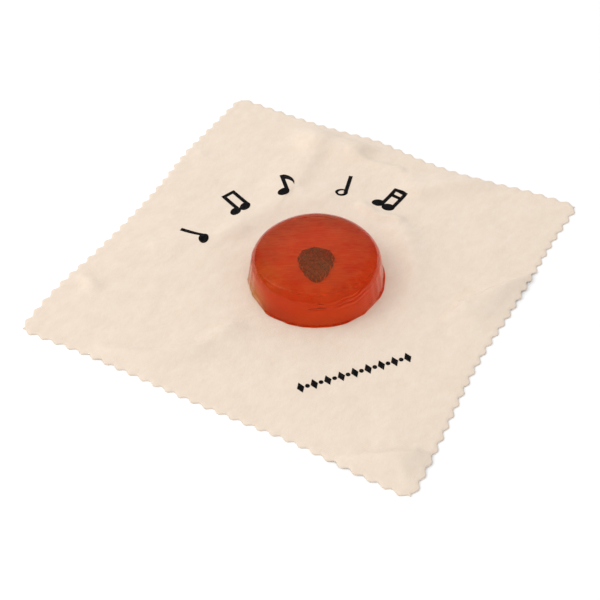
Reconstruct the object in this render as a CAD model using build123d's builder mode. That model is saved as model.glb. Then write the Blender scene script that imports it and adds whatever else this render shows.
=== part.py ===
from build123d import *
import math
import os

# A cake of bow rosin on the square flannel cloth that it is wrapped in.
# Millimetres, +Z up. The origin is under the middle of the cloth, on its lower face.

os.makedirs("parts", exist_ok=True)

# Cloth: a square with a pinked (zigzag) edge, measured from tip to tip before the tips are rounded.
cloth_side = 150.0
cloth_thickness = 0.7
tooth_pitch = 5.0
tooth_depth = 1.4
tooth_round = 0.7

# Cake: a puck cast in a shallow mould, with a thin brim where the mould was filled.
cake_x = 4.2
cake_y = -5.3
cake_radius = 25.0
cake_height = 14.0
brim_thickness = 0.6
brim_width = 0.5
wall_lean = 1.6
shoulder_radius = 6.0
dome_rise = 0.5

# Mark: a dark pine cone, cast into the underside of the cake.
mark_depth = 0.5
mark_turn = 29.0
cone_length = 18.0
cone_width = 13.5
cone_rows = 9
cone_fullness = 0.6
cone_taper = 0.65
scale_angle = 36.0
scale_gap = 0.35

# Ink: five notes on an arc, and a row of small lozenges and dots, all laid out round one point.
ink_thickness = 0.08
print_x = 3.2
print_y = -4.2
arc_radius = 50.0
note_angles = (-176.0, 157.0, 132.0, 105.0, 83.0)
note_height = 12.5
head_length = 5.0
head_width = 3.8
head_tilt = 25.0
head_wall = 1.0
hole_turn = 15.0
stem_inset = 0.2
stroke = 1.5
flag_depth = 3.0
flag_reach = 3.0
flag_hook = 2.6
flag_waist = 2.0
flag_fall = 4.8
flag_drop = 7.6
pair_width = 9.5
row_distance = 48.5
row_angle = -46.1
row_turn = 47.8
row_length = 41.0
row_units = 9
lozenge_height = 4.4
lozenge_width = 2.6
dot_radius = 0.8

cloth_top = cloth_thickness
cake_axis = Axis((cake_x, cake_y, cloth_top), (0, 0, 1))


def turned_plane(x, y, z, turn):
    """A horizontal plane at (x, y, z), with its own axes turned about +Z."""
    angle = math.radians(turn)
    return Plane(origin=(x, y, z), x_dir=(math.cos(angle), math.sin(angle), 0), z_dir=(0, 0, 1))


def print_plane(distance, bearing, turn):
    """A plane on the cloth, at a distance and bearing from the point that the print is laid out round."""
    angle = math.radians(bearing)
    x = print_x + distance * math.cos(angle)
    y = print_y + distance * math.sin(angle)
    return turned_plane(x, y, cloth_top, turn)


# ---- wrapping_cloth ----
teeth = round(cloth_side / tooth_pitch)
half_side = cloth_side / 2
half_step = cloth_side / teeth / 2
outline = []
for quarter in range(4):
    for step in range(2 * teeth):
        inset = tooth_depth if step % 2 else 0.0
        point = Vector(-half_side + step * half_step, -half_side + inset)
        turned = point.rotate(Axis.Z, 90 * quarter)
        outline.append((turned.X, turned.Y))

with BuildPart() as wrapping_cloth:
    with BuildSketch(Plane.XY):
        with BuildLine():
            FilletPolyline(*outline, radius=tooth_round, close=True)
        make_face()
    extrude(amount=cloth_thickness)
wrapping_cloth.part.label = "wrapping_cloth"
export_step(wrapping_cloth.part, "parts/wrapping_cloth.step")


# ---- the mark's outline, shared by the mark and its recess ----
def cone_point(row, turn):
    """A point on the cone's front: its row from the head to the tip, and its turn about the axis."""
    share = row / cone_rows
    half_width = cone_width / 2 * math.sin(math.pi * share**cone_taper) ** cone_fullness
    return Vector(half_width * math.sin(math.radians(turn)), cone_length * (0.5 - share))


def cone_scale(row, turn):
    """One lozenge of the cone's net of scales, drawn in from its neighbours by half the gap."""
    net = [
        cone_point(row - 1, turn),
        cone_point(row, turn + scale_angle / 2),
        cone_point(row + 1, turn),
        cone_point(row, turn - scale_angle / 2),
    ]
    middle = (net[0] + net[1] + net[2] + net[3]) / 4
    narrowest = min((net[0] - net[2]).length, (net[1] - net[3]).length)
    keep = 1 - scale_gap / narrowest
    corners = [middle + (corner - middle) * keep for corner in net]
    Polygon(*[(corner.X, corner.Y) for corner in corners], align=None)


def cone_scales():
    """Staggered rows of scales, each row five or four of them across the front of the cone."""
    for row in range(1, cone_rows):
        first = -2 * scale_angle if row % 2 else -1.5 * scale_angle
        for number in range(5 if row % 2 else 4):
            cone_scale(row, first + number * scale_angle)


mark_plane = turned_plane(cake_x, cake_y, cloth_top, mark_turn)
with BuildSketch(mark_plane) as mark_outline:
    cone_scales()

# ---- rosin_cake ----
wall_foot = cake_radius - brim_width
wall_head = wall_foot - wall_lean
rim_height = cake_height - dome_rise
section_plane = Plane(origin=(cake_x, cake_y, cloth_top), x_dir=(1, 0, 0), z_dir=(0, -1, 0))

with BuildPart() as rosin_cake:
    with BuildSketch(section_plane) as half_section:
        with BuildLine():
            Polyline(
                (0, cake_height),
                (0, 0),
                (cake_radius, 0),
                (cake_radius, brim_thickness),
                (wall_foot, brim_thickness),
                (wall_head, rim_height),
            )
            TangentArc((0, cake_height), (wall_head, rim_height), tangent=(1, 0))
        make_face()
        rim_corner = half_section.vertices().sort_by_distance((wall_head, rim_height, 0))[0]
        fillet(rim_corner, shoulder_radius)
    revolve(axis=cake_axis)
    extrude(mark_outline.sketch, amount=mark_depth, mode=Mode.SUBTRACT)
rosin_cake.part.label = "rosin_cake"
export_step(rosin_cake.part, "parts/rosin_cake.step")

# ---- cake_mark ----
with BuildPart() as cake_mark:
    extrude(mark_outline.sketch, amount=mark_depth)
cake_mark.part.label = "cake_mark"
export_step(cake_mark.part, "parts/cake_mark.step")

# ---- printed notes ----
head_y = -note_height / 2 + head_width / 2
stem_top = note_height / 2
pair_reach = (pair_width - head_length) / 2


def note_head(x):
    with Locations(Location((x, head_y, 0), (0, 0, head_tilt))):
        Ellipse(head_length / 2, head_width / 2)


def note_stem(x):
    """A stem that rises from the right-hand side of a head at x."""
    right = x + head_length / 2 - stem_inset
    with Locations((right - stroke / 2, (head_y + stem_top) / 2)):
        Rectangle(stroke, stem_top - head_y)


def note_beam(drop):
    """A beam between the two stems of a pair, a drop below their tops."""
    left = -pair_reach + head_length / 2 - stem_inset - stroke
    right = pair_reach + head_length / 2 - stem_inset
    with Locations(((left + right) / 2, stem_top - drop - stroke / 2)):
        Rectangle(right - left, stroke)


def quarter_note():
    note_head(0)
    note_stem(0)


def beamed_notes():
    for x in (-pair_reach, pair_reach):
        note_head(x)
        note_stem(x)
    note_beam(0)


def eighth_note():
    note_head(-head_length / 4)
    note_stem(-head_length / 4)
    right = head_length / 4 - stem_inset
    tip = (right + flag_hook, stem_top - flag_drop)
    bulge = (right + flag_reach, stem_top - flag_drop / 2)
    waist = (right + flag_waist, stem_top - flag_fall)
    with BuildLine() as flag:
        outer = ThreePointArc((right, stem_top), bulge, tip)
        inner = ThreePointArc(tip, waist, (right, stem_top - flag_depth))
        Line(inner @ 1, outer @ 0)
    make_face(flag.edges())


def half_note():
    note_head(0)
    with Locations(Location((0, head_y, 0), (0, 0, head_tilt + hole_turn))):
        Ellipse(head_length / 2 - head_wall, head_width / 2 - head_wall, mode=Mode.SUBTRACT)
    note_stem(0)


def sixteenth_notes():
    beamed_notes()
    note_beam(2 * stroke)


arc_notes = (
    ("quarter_note_print", quarter_note),
    ("beamed_notes_print", beamed_notes),
    ("eighth_note_print", eighth_note),
    ("half_note_print", half_note),
    ("sixteenth_notes_print", sixteenth_notes),
)
for (name, draw_note), angle in zip(arc_notes, note_angles):
    with BuildPart() as printed_note:
        with BuildSketch(print_plane(arc_radius, angle, angle - 90)):
            draw_note()
        extrude(amount=ink_thickness)
    printed_note.part.label = name
    export_step(printed_note.part, f"parts/{name}.step")

# ---- row_print ----
row_step = (row_length - lozenge_width) / (row_units - 1)
with BuildPart() as row_print:
    with BuildSketch(print_plane(row_distance, row_angle, row_turn)):
        with GridLocations(row_step, 0, row_units, 1):
            corners = [
                (lozenge_width / 2, 0),
                (0, lozenge_height / 2),
                (-lozenge_width / 2, 0),
                (0, -lozenge_height / 2),
            ]
            Polygon(*corners, align=None)
        with GridLocations(row_step, 0, row_units - 1, 1):
            Circle(dot_radius)
    extrude(amount=ink_thickness)
row_print.part.label = "row_print"
export_step(row_print.part, "parts/row_print.step")
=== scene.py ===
import math
import bmesh
import bpy
import numpy as np
from mathutils import Matrix, Vector


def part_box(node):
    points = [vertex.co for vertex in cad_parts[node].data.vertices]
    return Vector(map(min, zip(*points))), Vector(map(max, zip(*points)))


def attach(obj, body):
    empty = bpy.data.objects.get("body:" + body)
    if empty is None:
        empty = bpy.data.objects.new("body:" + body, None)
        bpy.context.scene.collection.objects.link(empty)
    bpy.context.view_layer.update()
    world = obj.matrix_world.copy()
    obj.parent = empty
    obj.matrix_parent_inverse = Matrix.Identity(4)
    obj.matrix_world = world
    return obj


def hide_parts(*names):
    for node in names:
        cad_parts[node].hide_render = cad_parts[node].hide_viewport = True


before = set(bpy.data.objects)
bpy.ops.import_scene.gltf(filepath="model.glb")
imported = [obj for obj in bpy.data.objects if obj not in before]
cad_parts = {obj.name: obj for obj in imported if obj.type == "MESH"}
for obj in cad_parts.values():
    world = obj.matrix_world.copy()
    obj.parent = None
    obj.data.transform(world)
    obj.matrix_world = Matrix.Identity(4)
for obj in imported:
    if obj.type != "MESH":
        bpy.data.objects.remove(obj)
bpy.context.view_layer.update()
mm = 0.001
print("frame loaded")

clothLow, clothHigh = (np.array(corner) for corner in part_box("wrapping_cloth"))
cakeLow, cakeHigh = (np.array(corner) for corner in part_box("rosin_cake"))
cakeMiddle = (cakeLow + cakeHigh) / 2
cakeRadius = (cakeHigh[0] - cakeLow[0]) / 2
clothSide = clothHigh[0] - clothLow[0]
clothThickness = clothHigh[2] - clothLow[2]


class Wire:
    # A socket that takes part in sums, so that an expression adds its own Math nodes.
    def __init__(self, recipe, socket):
        self.recipe = recipe
        self.socket = socket

    def sum(self, operation, first, second):
        return self.recipe.node("ShaderNodeMath", {"operation": operation}, {0: first, 1: second})

    def __add__(self, other):
        return self.sum("ADD", self, other)

    def __radd__(self, other):
        return self.sum("ADD", other, self)

    def __sub__(self, other):
        return self.sum("SUBTRACT", self, other)

    def __rsub__(self, other):
        return self.sum("SUBTRACT", other, self)

    def __mul__(self, other):
        return self.sum("MULTIPLY", self, other)

    def __rmul__(self, other):
        return self.sum("MULTIPLY", other, self)

    def __gt__(self, other):
        return self.sum("GREATER_THAN", self, other)


class Recipe:
    # A material in the making: node() is the one way in for every kind of node.
    def __init__(self, name):
        self.material = bpy.data.materials.new(name)
        self.material.use_nodes = True
        self.tree = self.material.node_tree
        self.tree.nodes.clear()
        self.output = self.tree.nodes.new("ShaderNodeOutputMaterial")

    def feed(self, socket, value):
        if isinstance(value, Wire):
            self.tree.links.new(value.socket, socket)
        elif socket.type == "RGBA" and len(value) == 3:
            socket.default_value = (*value, 1.0)
        else:
            socket.default_value = value

    def node(self, kind, settings=None, inputs=None, output=0):
        made = self.tree.nodes.new(kind)
        for key, value in (settings or {}).items():
            if key == "stops":
                self.setStops(made.color_ramp, value)
            else:
                setattr(made, key, value)
        for key, value in (inputs or {}).items():
            self.feed(made.inputs[key], value)
        return Wire(self, made.outputs[output])

    def setStops(self, ramp, stops):
        while len(ramp.elements) < len(stops):
            ramp.elements.new(0.5)
        for element, (place, shade) in zip(ramp.elements, stops):
            element.position = place
            element.color = (shade, shade, shade, 1.0)

    def objectPoint(self):
        return self.node("ShaderNodeTexCoord", output="Object")

    def stretched(self, drawn, turn=0.0):
        # Object coordinates drawn out along axes turned about Z, for a grain that runs one way.
        inputs = {"Vector": self.objectPoint(), "Rotation": (0, 0, turn), "Scale": drawn}
        return self.node("ShaderNodeMapping", {"vector_type": "TEXTURE"}, inputs)

    def noise(self, point, scale, detail=2.0, roughness=0.5):
        inputs = {"Vector": point, "Scale": scale, "Detail": detail, "Roughness": roughness}
        return self.node("ShaderNodeTexNoise", None, inputs)

    def ramp(self, factor, stops):
        return self.node("ShaderNodeValToRGB", {"stops": stops}, {"Fac": factor})

    def mixed(self, factor, first, second):
        inputs = {0: factor, 6: first, 7: second}
        return self.node("ShaderNodeMix", {"data_type": "RGBA"}, inputs, 2)

    def bump(self, height, distance, strength):
        inputs = {"Height": height, "Distance": distance, "Strength": strength}
        return self.node("ShaderNodeBump", None, inputs)

    def principled(self, inputs):
        shader = self.node("ShaderNodeBsdfPrincipled", None, inputs)
        self.tree.links.new(shader.socket, self.output.inputs["Surface"])
        return self.material


def smoothStep(low, high, value):
    # 0 below low and 1 above high, with the smooth cubic 3t² - 2t³ between them.
    share = np.clip((value - low) / (high - low), 0, 1)
    return share * share * (3 - 2 * share)


def smoothThrough(values, share):
    # A Catmull-Rom curve through evenly spaced values, read at shares from 0 to 1.
    values = np.asarray(values, float)
    last = len(values) - 1
    place = np.clip(share, 0, 1) * last
    start = np.minimum(place.astype(int), last - 1)
    part = place - start
    before, first = values[np.maximum(start - 1, 0)], values[start]
    second, after = values[start + 1], values[np.minimum(start + 2, last)]
    bend = 2 * before - 5 * first + 4 * second - after
    swing = -before + 3 * first - 3 * second + after
    return first + part / 2 * (second - before + part * (bend + part * swing))


def gridFaces(rows, columns, start=0, wrap=False, flip=False):
    # The four-cornered faces of a grid of points, as one array of point numbers.
    across = columns if wrap else columns - 1
    row, column = np.meshgrid(np.arange(rows - 1), np.arange(across), indexing="ij")
    beside = (column + 1) % columns
    corners = [
        row * columns + column,
        row * columns + beside,
        (row + 1) * columns + beside,
        (row + 1) * columns + column,
    ]
    faces = np.stack(corners, axis=-1).reshape(-1, 4)
    return start + (faces[:, ::-1] if flip else faces)


def addPiece(name, points, quads, triangles=None):
    # A smooth mesh object from arrays of points, four-cornered faces and triangles.
    triangles = np.empty((0, 3), int) if triangles is None else triangles
    loops = np.concatenate([quads.ravel(), triangles.ravel()]).astype(np.int32)
    sizes = np.concatenate([np.full(len(quads), 4), np.full(len(triangles), 3)])
    mesh = bpy.data.meshes.new(name)
    mesh.vertices.add(len(points))
    mesh.vertices.foreach_set("co", points.astype(np.float32).ravel())
    mesh.loops.add(len(loops))
    mesh.loops.foreach_set("vertex_index", loops)
    mesh.polygons.add(len(sizes))
    starts = np.concatenate([[0], np.cumsum(sizes)[:-1]])
    mesh.polygons.foreach_set("loop_start", starts.astype(np.int32))
    mesh.update(calc_edges=True)
    mesh.validate()
    mesh.polygons.foreach_set("use_smooth", np.ones(len(sizes), dtype=bool))
    piece = bpy.data.objects.new(name, mesh)
    bpy.context.scene.collection.objects.link(piece)
    return piece


cloth = {
    "teeth": 30,
    "toothDepth": 1.4 * mm,
    "tipSharpness": 0.94,
    "toothReach": 3.2 * mm,
    "cornerCut": 1.5 * mm,
    "edgeThickness": 0.6,
    "edgeReach": 1.2 * mm,
    "stepsPerTooth": 6,
    # How far each side stands out from a straight line, in millimetres, from its low end to its high end.
    "wander": {
        "front": (1.4, 0.2, 0.1, 0.4, 0.2, -0.4, 0.8, 1.3),
        "right": (0.4, -0.6, -2.1, -2.7, -1.6, -1.2, -0.9, 0.6),
        "back": (1.3, 0.8, 0.4, 2.0, -0.6, -1.4, 1.2, 1.9),
        "left": (1.6, 2.4, 0.8, 0.1, 0.4, 2.1, 1.9, 1.3),
    },
    "wanderReach": 26 * mm,
    # The cake presses the cloth flat, and the folds and waves die down towards the edge.
    "pressedRadius": 27 * mm,
    "freeRadius": 44 * mm,
    "swell": 0.2 * mm,
    "flatHem": 14 * mm,
    "foldHem": 9 * mm,
    "foldKept": 0.15,
    # Crumples: low waves 11 to 20 mm long, each a height in millimetres, two wave numbers and a start.
    "crumpleShare": 0.8,
    "crumpleBend": 0.8,
    "crumples": (
        (0.07, 310, 95, 0.3),
        (0.06, -120, 330, 1.9),
        (0.06, 240, -260, 4.1),
        (0.05, 420, 210, 2.6),
        (0.04, -90, 540, 5.2),
        (0.04, 500, -60, 0.9),
    ),
    # Folds: a path in millimetres, the height, and the half widths on the path's left and right.
    "folds": (
        {"path": ((-32, 62), (-23, 64), (-15, 66)), "height": 3.6, "widths": (9.0, 5.0)},
        {"path": ((-16, 62), (-6, 61.5), (6, 63)), "height": 1.1, "widths": (1.8, 1.6)},
        {"path": ((18, 55), (29, 64), (38, 72)), "height": 2.2, "widths": (7.0, 4.0)},
        {"path": ((-27, 36), (-29, 55), (-31, 76)), "height": 1.3, "widths": (10.0, 4.0)},
        {"path": ((2, 37), (9, 34.5), (18, 36)), "height": 1.5, "widths": (2.2, 2.0)},
        {"path": ((-33, 2), (-27, 22), (-13, 35)), "height": 1.2, "widths": (8.0, 4.5)},
        {"path": ((22, 30), (33, 15), (37, -4)), "height": 1.7, "widths": (5.0, 6.0)},
        {"path": ((57, 6), (67, 22), (77, 38)), "height": 2.8, "widths": (1.7, 7.5)},
        {"path": ((-80, -43), (-72, -44.5), (-65, -47)), "height": 1.3, "widths": (3.0, 2.0)},
        {"path": ((-44, -71), (-27, -64), (-15, -54), (-10, -40)), "height": 1.6, "widths": (3.0, 5.5)},
        {"path": ((46, -75), (57, -68), (69, -60)), "height": 2.4, "widths": (2.0, 8.0)},
        {"path": ((-56, -18), (-42, -7), (-33, 4)), "height": 0.9, "widths": (3.0, 4.0)},
        {"path": ((-80, 38), (-72, 36)), "height": 1.4, "widths": (3.0, 4.0)},
    ),
}


def foldHeight(x, y, fold):
    # A ridge along a path: exp(-(d/w)²) of the distance d, with a width w of its own on each side.
    nearest = np.full(x.shape, np.inf)
    ridge = np.zeros(x.shape)
    left, right = (width * mm for width in fold["widths"])
    for (ax, ay), (bx, by) in zip(fold["path"], fold["path"][1:]):
        alongX, alongY = (bx - ax) * mm, (by - ay) * mm
        fromX, fromY = x - ax * mm, y - ay * mm
        share = np.clip((fromX * alongX + fromY * alongY) / (alongX**2 + alongY**2), 0, 1)
        distance = np.hypot(fromX - share * alongX, fromY - share * alongY)
        side = alongX * fromY - alongY * fromX
        blend = smoothStep(-1, 1, side / (math.hypot(alongX, alongY) * mm))
        width = right + (left - right) * blend
        closer = distance < nearest
        nearest = np.where(closer, distance, nearest)
        ridge = np.where(closer, np.exp(-((distance / width) ** 2)), ridge)
    return fold["height"] * mm * ridge


def clothLift(x, y):
    # How far the underside is off the floor: slow sine swells and crumples, which die out at the edge,
    # and the folds, all faded to nothing under the cake.
    swells = 2 + np.sin(x * 52 + 1.1 * np.sin(y * 37) + 0.6) + np.sin(y * 61 - x * 29 + 2.2)
    waves = cloth["swell"] * swells / 2
    for height, across, along, start in cloth["crumples"]:
        bent = x * across + y * along + start + cloth["crumpleBend"] * np.sin(x * 83 - y * 61 + start)
        waves = waves + height * mm * (1 + np.sin(bent)) * cloth["crumpleShare"]
    inward = clothSide / 2 - np.maximum(np.abs(x), np.abs(y))
    lift = waves * smoothStep(0, cloth["flatHem"], inward)
    kept = cloth["foldKept"] + (1 - cloth["foldKept"]) * smoothStep(0, cloth["foldHem"], inward)
    for fold in cloth["folds"]:
        lift = lift + kept * foldHeight(x, y, fold)
    away = np.hypot(x - cakeMiddle[0], y - cakeMiddle[1])
    return lift * smoothStep(cloth["pressedRadius"], cloth["freeRadius"], away)


def toothInset(share):
    # A pinked edge: a zigzag with rounded tips, 0 at each tip and the tooth's depth in each valley.
    wave = np.cos(2 * np.pi * cloth["teeth"] * share)
    zigzag = np.arcsin(cloth["tipSharpness"] * wave) / math.asin(cloth["tipSharpness"])
    return cloth["toothDepth"] * (1 - zigzag) / 2


def clothPlan():
    # The grid's shares across the square, and its points: each side is bent by its wander and pinked.
    steps = cloth["teeth"] * cloth["stepsPerTooth"]
    shares = np.concatenate([[0], (np.arange(steps) + 0.5) / steps, [1]])
    u, v = np.meshgrid(shares, shares, indexing="ij")
    x, y = (u - 0.5) * clothSide, (v - 0.5) * clothSide
    for share, other, sides in ((u, v, ("left", "right")), (v, u, ("front", "back"))):
        shift = 0
        for inward, name in ((share, sides[0]), (1 - share, sides[1])):
            wander = smoothThrough(cloth["wander"][name], other) * mm
            near = 1 - smoothStep(0, cloth["wanderReach"] / clothSide, inward)
            pinked = 1 - smoothStep(0, cloth["toothReach"] / clothSide, inward)
            toEnd = np.minimum(other, 1 - other)
            corner = pinked * (1 - smoothStep(0, cloth["toothReach"] / clothSide, toEnd))
            outward = wander * near - toothInset(other) * pinked - cloth["cornerCut"] * corner
            shift = shift + outward * (-1 if name == sides[0] else 1)
        if share is u:
            x = x + shift
        else:
            y = y + shift
    return u, v, x, y


def makeCloth():
    # Upper and lower faces are the same grid, a thickness apart, sewn together by a strip round the edge.
    u, v, x, y = clothPlan()
    lift = clothLift(x, y)
    rows, columns = u.shape
    inward = np.minimum(np.minimum(u, 1 - u), np.minimum(v, 1 - v)) * clothSide
    thinnest = cloth["edgeThickness"]
    plump = thinnest + (1 - thinnest) * smoothStep(0, cloth["edgeReach"], inward)
    lower = np.stack([x, y, lift], axis=-1).reshape(-1, 3)
    upper = np.stack([x, y, lift + clothThickness * plump], axis=-1).reshape(-1, 3)
    count = rows * columns
    number = np.arange(count).reshape(rows, columns)
    edge = np.concatenate([number[:-1, 0], number[-1, :-1], number[:0:-1, -1], number[0, :0:-1]])
    following = np.roll(edge, -1)
    strip = np.stack([edge, following, following + count, edge + count], axis=-1)
    quads = np.concatenate([gridFaces(rows, columns), gridFaces(rows, columns, count, flip=True), strip])
    return addPiece("flannel_cloth", np.concatenate([lower, upper]), quads)


cake = {
    "around": 360,
    "brimThickness": 0.6 * mm,
    "brimWidth": 0.5 * mm,
    "wallLean": 1.2 * mm,
    "shoulder": 5.4 * mm,
    "domeRise": 0.6 * mm,
    "airGap": 0.03 * mm,
    "swell": 0.05 * mm,
    "flow": 0.06 * mm,
    # The top's relief comes in between these shares of the height, the wall's flow lines go out there.
    "topFrom": 0.55,
    "topTo": 0.95,
    "bottomRings": 24,
    "wallRings": 36,
    "shoulderRings": 60,
    "topRings": 90,
    # Slow waves of the outline: how many round the cake, how far out, and where they start.
    "outline": ((2, 0.10, 0.4), (3, 0.12, 2.1), (5, 0.08, 4.0), (9, 0.05, 1.0)),
    "trim": 0.02 * mm,
    # Chips at the foot: their bearing, how deep they cut in, and how high they reach.
    "chips": (
        {"bearing": 238, "depth": 0.80, "height": 3.0},
        {"bearing": 222, "depth": 0.60, "height": 2.0},
        {"bearing": 203, "depth": 0.45, "height": 1.6},
        {"bearing": 268, "depth": 0.30, "height": 1.2},
        {"bearing": 352, "depth": 0.60, "height": 2.2},
        {"bearing": 334, "depth": 0.40, "height": 1.4},
    ),
    # Ripples of the skin that formed as the cake cooled: middle, reach, wavelength, height and bearing.
    "ripples": (
        {"at": (-8, 5), "reach": (11, 4.0), "length": 1.3, "height": 0.038, "bearing": 118},
        {"at": (-1, 9), "reach": (6, 2.0), "length": 1.1, "height": 0.036, "bearing": 122},
        {"at": (9, 16), "reach": (5, 3.0), "length": 1.1, "height": 0.038, "bearing": 95},
        {"at": (-14, -6), "reach": (7, 3.0), "length": 1.6, "height": 0.034, "bearing": 124},
        {"at": (14, 2), "reach": (6, 4.0), "length": 1.7, "height": 0.026, "bearing": 112},
    ),
    # Creases round the shoulder: bearing and half reach in degrees, then level, half height, pitch, depth
    # and the drift in level for each radian, in millimetres.
    "creases": (
        (-30, 22, 8.6, 2.2, 1.7, 0.26, 2.4),
        (-60, 20, 7.4, 1.8, 2.1, 0.18, -1.6),
        (196, 12, 8.0, 1.6, 1.4, 0.14, 1.0),
        (235, 18, 3.6, 1.3, 1.3, 0.18, 0.8),
    ),
}


def cakeProfile():
    # Radius and height along the half section: underside, brim, leaning wall, round shoulder, domed top.
    height = cakeHigh[2] - cakeLow[2]
    foot = cakeRadius - cake["brimWidth"]
    lean = math.atan2(cake["wallLean"], height)
    head = foot - cake["wallLean"]
    curve = cake["shoulder"]
    rim = height - cake["domeRise"]
    centreR, centreZ = head - curve, rim - curve
    bottom = np.linspace(0, 1, cake["bottomRings"], endpoint=False)[1:] ** 0.8
    brimTurn = np.linspace(-90, 90, 7) * math.pi / 180
    brimHalf = cake["brimThickness"] / 2
    wall = np.linspace(0.03, 1, cake["wallRings"])[:-1]
    turn = np.linspace(lean, math.pi / 2, cake["shoulderRings"])
    top = np.linspace(0, 1, cake["topRings"] + 1)[1:-1]
    wallHeadR = centreR + curve * math.cos(lean)
    wallHeadZ = centreZ + curve * math.sin(lean)
    radius = np.concatenate([
        bottom * (cakeRadius - brimHalf),
        cakeRadius - brimHalf + brimHalf * np.cos(brimTurn),
        foot + (wallHeadR - foot) * wall,
        centreR + curve * np.cos(turn),
        centreR * (1 - top),
    ])
    level = np.concatenate([
        np.zeros_like(bottom),
        brimHalf + brimHalf * np.sin(brimTurn),
        cake["brimThickness"] + (wallHeadZ - cake["brimThickness"]) * wall,
        centreZ + curve * np.sin(turn),
        rim + cake["domeRise"] * (1 - (1 - top) ** 2),
    ])
    return radius, level


def skinRelief(x, y):
    # Small ripples on the top: sine waves that fade out from each ripple patch's middle, and a slow swell.
    relief = cake["swell"] * np.sin(x * 310 + 1.3) * np.sin(y * 270 + 0.4)
    for patch in cake["ripples"]:
        angle = math.radians(patch["bearing"])
        dx, dy = x - patch["at"][0] * mm, y - patch["at"][1] * mm
        along = dx * math.sin(angle) - dy * math.cos(angle)
        ahead = dx * math.cos(angle) + dy * math.sin(angle)
        reachAlong, reachAhead = (reach * mm for reach in patch["reach"])
        fade = np.exp(-((along / reachAlong) ** 2) - (ahead / reachAhead) ** 2)
        bent = ahead + 0.35 * mm * np.sin(along * 420) + 0.2 * mm * np.sin(along * 1100 + 1)
        relief = relief + patch["height"] * mm * fade * np.sin(2 * np.pi * bent / (patch["length"] * mm))
    return relief


def creaseDepth(turn, z):
    # Shallow grooves: |cos| of the height to the fifth power, drifting with the bearing, in a soft window.
    depth = np.zeros_like(z)
    for bearing, reach, height, rise, pitch, cut, drift in cake["creases"]:
        away = (turn - math.radians(bearing) + math.pi) % (2 * math.pi) - math.pi
        level = z / mm - height - drift * away - 0.3 * np.sin(turn * 17)
        window = np.exp(-((away / math.radians(reach)) ** 2) - (level / rise) ** 2)
        groove = np.abs(np.cos(np.pi * level / pitch)) ** 5
        depth = depth + cut * mm * window * groove
    return depth


def makeCake():
    # The half section turned about the cake's axis, with an uneven outline, flat chips cut at the foot,
    # a rippled top and grooves round the shoulder.
    radius, level = cakeProfile()
    bearing = np.arange(cake["around"]) * 2 * math.pi / cake["around"]
    r, turn = np.meshgrid(radius, bearing, indexing="ij")
    z = np.repeat(level[:, None], cake["around"], axis=1)
    share = r / cakeRadius
    uneven = sum(far * mm * np.sin(times * turn + start) for times, far, start in cake["outline"])
    r = r + (uneven - cake["trim"]) * share**3
    height = cakeHigh[2] - cakeLow[2]
    for chip in cake["chips"]:
        away = (turn - math.radians(chip["bearing"]) + math.pi) % (2 * math.pi) - math.pi
        rise = np.clip(1 - z / (chip["height"] * mm), 0, 1)
        flat = (cakeRadius - chip["depth"] * mm) / np.maximum(np.cos(away), 0.5)
        cut = np.minimum(r, flat)
        r = np.where(np.abs(away) < 1, r + (cut - r) * smoothStep(0, 0.6, rise), r)
    x, y = r * np.cos(turn), r * np.sin(turn)
    onTop = smoothStep(cake["topFrom"] * height, cake["topTo"] * height, z)
    z = z + skinRelief(x, y) * onTop * (0.2 + 0.8 * smoothStep(1.0, 0.9, share))
    flow = cake["flow"] * np.sin(turn * 23 + 3 * np.sin(turn * 5)) * (1 - onTop) * (z > 0)
    flow = flow - creaseDepth(turn, z)
    x, y = x + flow * np.cos(turn), y + flow * np.sin(turn)
    rings = np.stack([x, y, z], axis=-1).reshape(-1, 3)
    top = np.array([[0, 0, height + float(skinRelief(np.zeros(1), np.zeros(1))[0])]])
    points = np.concatenate([rings, [[0, 0, 0]], top])
    points += [cakeMiddle[0], cakeMiddle[1], cakeLow[2]]
    points[:, 2] = np.maximum(points[:, 2], cakeLow[2] + cake["airGap"])
    count = len(rings)
    first = np.arange(cake["around"])
    after = (first + 1) % cake["around"]
    lastRing = count - cake["around"]
    under = np.stack([np.full_like(first, count), after, first], axis=-1)
    over = np.stack([np.full_like(first, count + 1), lastRing + first, lastRing + after], axis=-1)
    quads = gridFaces(len(radius), cake["around"], wrap=True)
    return addPiece("amber_cake", points, quads, np.concatenate([under, over]))


ink = {
    "weld": 0.002 * mm,
    "lift": 0.01 * mm,
    "tint": ((0.004, 0.0035, 0.004), (0.03, 0.026, 0.024)),
    "roughness": 0.7,
}


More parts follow.
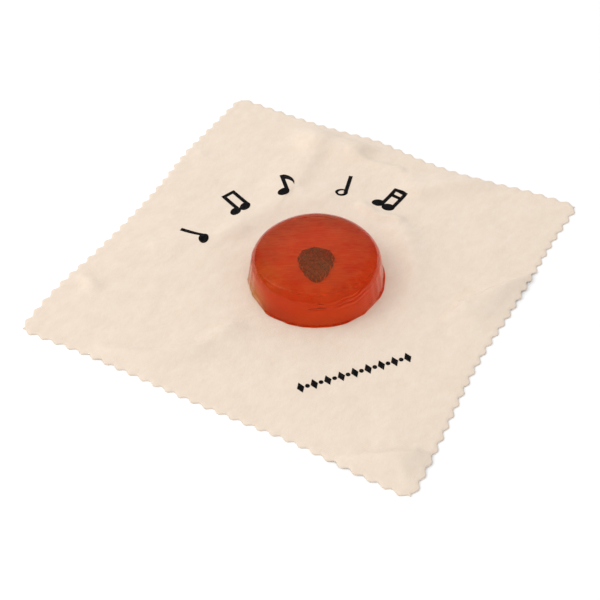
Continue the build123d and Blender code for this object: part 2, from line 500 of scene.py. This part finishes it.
def drapePrint(nodeName):
    # The flat ink shape, cut along the cloth's grid lines and raised with the cloth under it.
    shape = bmesh.new()
    shape.from_mesh(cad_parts[nodeName].data)
    bmesh.ops.remove_doubles(shape, verts=shape.verts, dist=ink["weld"])
    low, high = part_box(nodeName)
    pitch = clothSide / cloth["teeth"] / cloth["stepsPerTooth"]
    for axis in (0, 1):
        start = clothLow[axis] + pitch / 2
        first = math.ceil((low[axis] - start) / pitch)
        last = math.floor((high[axis] - start) / pitch)
        normal = Vector((1 - axis, axis, 0))
        for line in range(first, last + 1):
            place = normal * (start + line * pitch)
            parts = shape.verts[:] + shape.edges[:] + shape.faces[:]
            bmesh.ops.bisect_plane(shape, geom=parts, dist=ink["weld"], plane_co=place, plane_no=normal)
    bmesh.ops.recalc_face_normals(shape, faces=shape.faces[:])
    mesh = bpy.data.meshes.new(nodeName + "_on_cloth")
    shape.to_mesh(mesh)
    shape.free()
    points = np.empty(len(mesh.vertices) * 3, dtype=np.float32)
    mesh.vertices.foreach_get("co", points)
    points = points.reshape(-1, 3)
    points[:, 2] += clothLift(points[:, 0], points[:, 1]) + ink["lift"]
    mesh.vertices.foreach_set("co", points.ravel())
    mesh.update()
    piece = bpy.data.objects.new(nodeName + "_on_cloth", mesh)
    bpy.context.scene.collection.objects.link(piece)
    return piece


amber = {
    "tint": ((0.92, 0.31, 0.095), (1.0, 0.76, 0.30)),
    "clearness": 0.96,
    "refraction": 1.54,
    "gleam": (0.7, 0.38, 0.2),
    # Painted shade and light: the wall is coloured a deeper, darker red than the paler top, up to these
    # shares of the height.
    "shadedWallTint": ((0.86, 0.115, 0.015), (0.96, 0.22, 0.035)),
    "wallShadeUpTo": (0.62, 0.96),
    # A thin chipped place at the foot, where the resin looks yellow.
    "thinBearing": math.radians(226),
    "thinReach": 13 * mm,
    "thinTint": (1.0, 0.66, 0.10),
    "depthColour": (0.985, 0.39, 0.03),
    "depthDensity": 30.0,
    "polish": 0.05,
    "smudging": 0.12,
    "baseRoughness": 0.85,
    "brushing": math.radians(29),
}


def amberResin():
    # Clear amber: stretched noise streaks it one way, a ramp in height gives the wall a darker red as
    # painted shade and the top a paler one as painted light, a ramp of the distance from the chipped place
    # turns it yellow, and the underside is rough.
    recipe = Recipe("amber_resin")
    point = recipe.objectPoint()
    height = recipe.node("ShaderNodeSeparateXYZ", None, {"Vector": point}, 2)
    under = 1 - (height > float(cakeLow[2] + 2 * cake["airGap"]))
    smudge = recipe.noise(point, 90, 3, 0.6)
    brushed = recipe.noise(recipe.stretched((6, 1, 1), amber["brushing"]), 1300, 4, 0.65)
    cloudy = recipe.noise(recipe.stretched((1.8, 1, 1), amber["brushing"]), 110, 3, 0.55)
    streaks = recipe.ramp(0.55 * brushed + 0.45 * cloudy, [(0.4, 0.0), (0.6, 1.0)])
    share = (height - float(cakeLow[2])) * float(1 / (cakeHigh[2] - cakeLow[2]))
    # Painted shade on the wall and painted light on the top, blended by a ramp in height.
    upper = recipe.ramp(share, [(amber["wallShadeUpTo"][0], 0.0), (amber["wallShadeUpTo"][1], 1.0)])
    wall = recipe.mixed(streaks, *amber["shadedWallTint"])
    litCrown = recipe.mixed(streaks, *amber["tint"])
    colour = recipe.mixed(upper, wall, litCrown)
    thinAt = cakeLow + (cakeHigh - cakeLow) * (0.5, 0.5, 0)
    thinAt += cakeRadius * np.array((math.cos(amber["thinBearing"]), math.sin(amber["thinBearing"]), 0))
    away = recipe.node("ShaderNodeVectorMath", {"operation": "DISTANCE"}, {0: point, 1: tuple(thinAt)}, 1)
    thin = recipe.ramp(away * (1 / amber["thinReach"]), [(0.35, 1.0), (1.0, 0.0)])
    dull = amber["baseRoughness"] - amber["polish"]
    shader = recipe.principled({
        "Base Color": recipe.mixed(thin, colour, amber["thinTint"]),
        "Roughness": amber["polish"] + amber["smudging"] * smudge + dull * under,
        "IOR": amber["refraction"],
        "Transmission Weight": amber["clearness"],
        "Specular Tint": amber["gleam"],
        "Normal": recipe.bump(brushed, 0.00003, 0.4),
    })
    depthSettings = {"Color": amber["depthColour"], "Density": amber["depthDensity"]}
    depth = recipe.node("ShaderNodeVolumeAbsorption", None, depthSettings)
    recipe.tree.links.new(depth.socket, recipe.output.inputs["Volume"])
    return shader


pigment = {"tint": ((0.05, 0.004, 0.004), (0.34, 0.03, 0.04)), "roughness": 0.55, "patchiness": 0.25}


def darkPigment():
    # A fine speckle of two maroons from one noise, and a slow noise that makes it duller in patches.
    recipe = Recipe("dark_pigment")
    point = recipe.objectPoint()
    speckle = recipe.ramp(recipe.noise(point, 1500, 4, 0.7), [(0.42, 0.0), (0.62, 1.0)])
    patchy = recipe.noise(point, 260, 2)
    colour = recipe.mixed(speckle * 0.8 + patchy * 0.2, *pigment["tint"])
    return recipe.principled({
        "Base Color": colour,
        "Roughness": pigment["roughness"] + pigment["patchiness"] * patchy,
        "Normal": recipe.bump(speckle, 0.0001, 0.5),
    })


flannel = {
    "tint": ((0.695, 0.57, 0.452), (0.745, 0.617, 0.50)),
    "tuftTint": (0.782, 0.662, 0.549),
    "napTint": (0.83, 0.728, 0.622),
    "napShare": 0.4,
    "relief": 0.00022,
    "sheen": 0.25,
    "sheenTint": (1.0, 0.96, 0.92),
}


def creamFlannel():
    # Slow blotches of two creams, then paler tufts and a paler nap, each from a noise stretched one way;
    # the bump adds the nap, the tufts and a faint wave of threads.
    recipe = Recipe("cream_flannel")
    point = recipe.objectPoint()
    blotch = recipe.noise(point, 45, 3, 0.55)
    nap = recipe.noise(recipe.stretched((1, 2.2, 1), 0.15), 1400, 4, 0.65)
    fuzz = recipe.noise(recipe.stretched((1, 1.7, 1), -0.2), 360, 4, 0.65)
    threads = recipe.node(
        "ShaderNodeTexWave",
        {"wave_type": "BANDS", "bands_direction": "Y"},
        {"Vector": point, "Scale": 480, "Distortion": 3.0, "Detail": 2.0, "Detail Scale": 2.0},
        1,
    )
    shade = recipe.mixed(blotch, *flannel["tint"])
    tufts = recipe.ramp(fuzz, [(0.3, 0.0), (0.75, 1.0)])
    tufted = recipe.mixed(tufts, shade, flannel["tuftTint"])
    colour = recipe.mixed(flannel["napShare"] * nap, tufted, flannel["napTint"])
    surface = recipe.bump(nap * 0.6 + fuzz * 0.7 + threads * 0.1, flannel["relief"], 0.8)
    return recipe.principled({
        "Base Color": colour,
        "Roughness": 0.86 + 0.12 * nap,
        "Sheen Weight": flannel["sheen"],
        "Sheen Roughness": 0.45,
        "Sheen Tint": flannel["sheenTint"],
        "Specular IOR Level": 0.2,
        "Normal": surface,
    })


def blackInk():
    # Near black, with paler fibres where a stretched noise is high.
    recipe = Recipe("black_ink")
    weave = recipe.noise(recipe.stretched((2, 1, 1), 0.2), 1500, 3, 0.6)
    fibre = recipe.ramp(weave, [(0.5, 0.0), (0.78, 1.0)])
    colour = recipe.mixed(fibre, *ink["tint"])
    return recipe.principled({
        "Base Color": colour,
        "Roughness": ink["roughness"] + 0.2 * fibre,
        "Specular IOR Level": 0.15,
        "Normal": recipe.bump(fibre, 0.0001, 0.6),
    })


def paleFloor():
    # One white, a little rougher where a fine noise is high.
    recipe = Recipe("pale_floor")
    grain = recipe.noise(recipe.objectPoint(), 300, 2)
    return recipe.principled({"Base Color": (0.96, 0.96, 0.96), "Roughness": 0.6 + 0.1 * grain})


def dress(piece, material):
    piece.data.materials.clear()
    piece.data.materials.append(material)


clothPiece = makeCloth()
dress(clothPiece, creamFlannel())
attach(clothPiece, "cloth")
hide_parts("wrapping_cloth")
print("cloth made")

inkMaterial = blackInk()
printNodes = [name for name in sorted(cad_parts) if name.endswith("_print")]
for nodeName in printNodes:
    printPiece = drapePrint(nodeName)
    dress(printPiece, inkMaterial)
    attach(printPiece, "cloth")
    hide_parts(nodeName)
print("print laid on the cloth")

cakePiece = makeCake()
dress(cakePiece, amberResin())
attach(cakePiece, "cake")
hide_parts("rosin_cake")
dress(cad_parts["cake_mark"], darkPigment())
print("cake made")


stage = {
    "floorSize": 6.0,
    "skyStrength": 0.82,
    "brightSide": (-0.66, -0.40, 0.64),
    "sideShare": 0.6,
    # In what the resin mirrors, the tent is dim but for the side that faces the camera.
    "mirroredSide": (-0.46, 0.82, 0.34),
    "mirroredLow": 0.05,
    "mirroredHigh": 0.68,
    "mirroredFrom": 0.80,
    "mirroredTo": 0.97,
    "keyPower": 1.5,
    "keySize": 0.5,
    "keyFrom": (-0.58, -0.30, 0.62),
}

view = {
    "target": (4.03, -17.22, 0.0),
    "distance": 410.1,
    "azimuth": 29.32,
    "elevation": 46.32,
    "roll": -1.094,
    "lens": 69.0,
    "sensor": 36.0,
}


def makeFloor():
    half = stage["floorSize"] / 2
    points = np.array([[-half, -half, 0], [half, -half, 0], [half, half, 0], [-half, half, 0]])
    points[:, 2] = clothLow[2]
    floor = addPiece("floor", points, np.array([[0, 1, 2, 3]]))
    dress(floor, paleFloor())


def makeSky():
    # A white tent, brighter from one side; reflected rays see a dimmer one, light only at the back.
    world = bpy.data.worlds.new("studio")
    world.use_nodes = True
    nodes, links = world.node_tree.nodes, world.node_tree.links

    def spread(source, low, high, fromLow, fromHigh):
        made = nodes.new("ShaderNodeMapRange")
        ends = {"From Min": fromLow, "From Max": fromHigh, "To Min": low, "To Max": high}
        for key, value in ends.items():
            made.inputs[key].default_value = value
        links.new(source, made.inputs["Value"])
        return made.outputs["Result"]

    def towards(axis):
        made = nodes.new("ShaderNodeVectorMath")
        made.operation = "DOT_PRODUCT"
        made.inputs[1].default_value = Vector(axis).normalized()
        links.new(direction.outputs["Generated"], made.inputs[0])
        return made.outputs["Value"]

    direction = nodes.new("ShaderNodeTexCoord")
    lightPath = nodes.new("ShaderNodeLightPath")
    reflected = nodes.new("ShaderNodeMath")
    reflected.operation = "SUBTRACT"
    reflected.use_clamp = True
    links.new(lightPath.outputs["Is Glossy Ray"], reflected.inputs[0])
    links.new(lightPath.outputs["Is Transmission Ray"], reflected.inputs[1])
    choice = nodes.new("ShaderNodeMix")
    sideShare = stage["sideShare"]
    side = spread(towards(stage["brightSide"]), 1 - sideShare, 1 + sideShare, -1.0, 1.0)
    mirrored = spread(
        towards(stage["mirroredSide"]),
        stage["mirroredLow"],
        stage["mirroredHigh"],
        stage["mirroredFrom"],
        stage["mirroredTo"],
    )
    links.new(reflected.outputs["Value"], choice.inputs[0])
    links.new(side, choice.inputs[2])
    links.new(mirrored, choice.inputs[3])
    background = nodes["Background"]
    background.inputs["Strength"].default_value = stage["skyStrength"]
    links.new(choice.outputs[0], background.inputs["Color"])
    bpy.context.scene.world = world


def makeKey():
    lamp = bpy.data.lights.new("key", "AREA")
    lamp.energy = stage["keyPower"]
    lamp.size = stage["keySize"]
    key = bpy.data.objects.new("key", lamp)
    key.location = stage["keyFrom"]
    key.visible_glossy = False
    key.rotation_euler = (-Vector(stage["keyFrom"])).to_track_quat("-Z", "Y").to_euler()
    bpy.context.scene.collection.objects.link(key)


def makeCamera():
    azimuth, elevation, roll = (math.radians(view[key]) for key in ("azimuth", "elevation", "roll"))
    back = Vector((
        math.sin(azimuth) * math.cos(elevation),
        -math.cos(azimuth) * math.cos(elevation),
        math.sin(elevation),
    ))
    lens = bpy.data.cameras.new("camera")
    lens.lens = view["lens"]
    lens.sensor_width = view["sensor"]
    lens.clip_start = 0.01
    lens.clip_end = 20.0
    camera = bpy.data.objects.new("camera", lens)
    facing = (-back).to_track_quat("-Z", "Y").to_matrix()
    camera.matrix_world = (
        Matrix.Translation((Vector(view["target"]) + back * view["distance"]) * mm)
        @ (facing @ Matrix.Rotation(roll, 3, "Z")).to_4x4()
    )
    bpy.context.scene.collection.objects.link(camera)
    bpy.context.scene.camera = camera


makeFloor()
makeSky()
makeKey()
makeCamera()
bpy.context.scene.view_settings.view_transform = "Standard"
print("stage set")
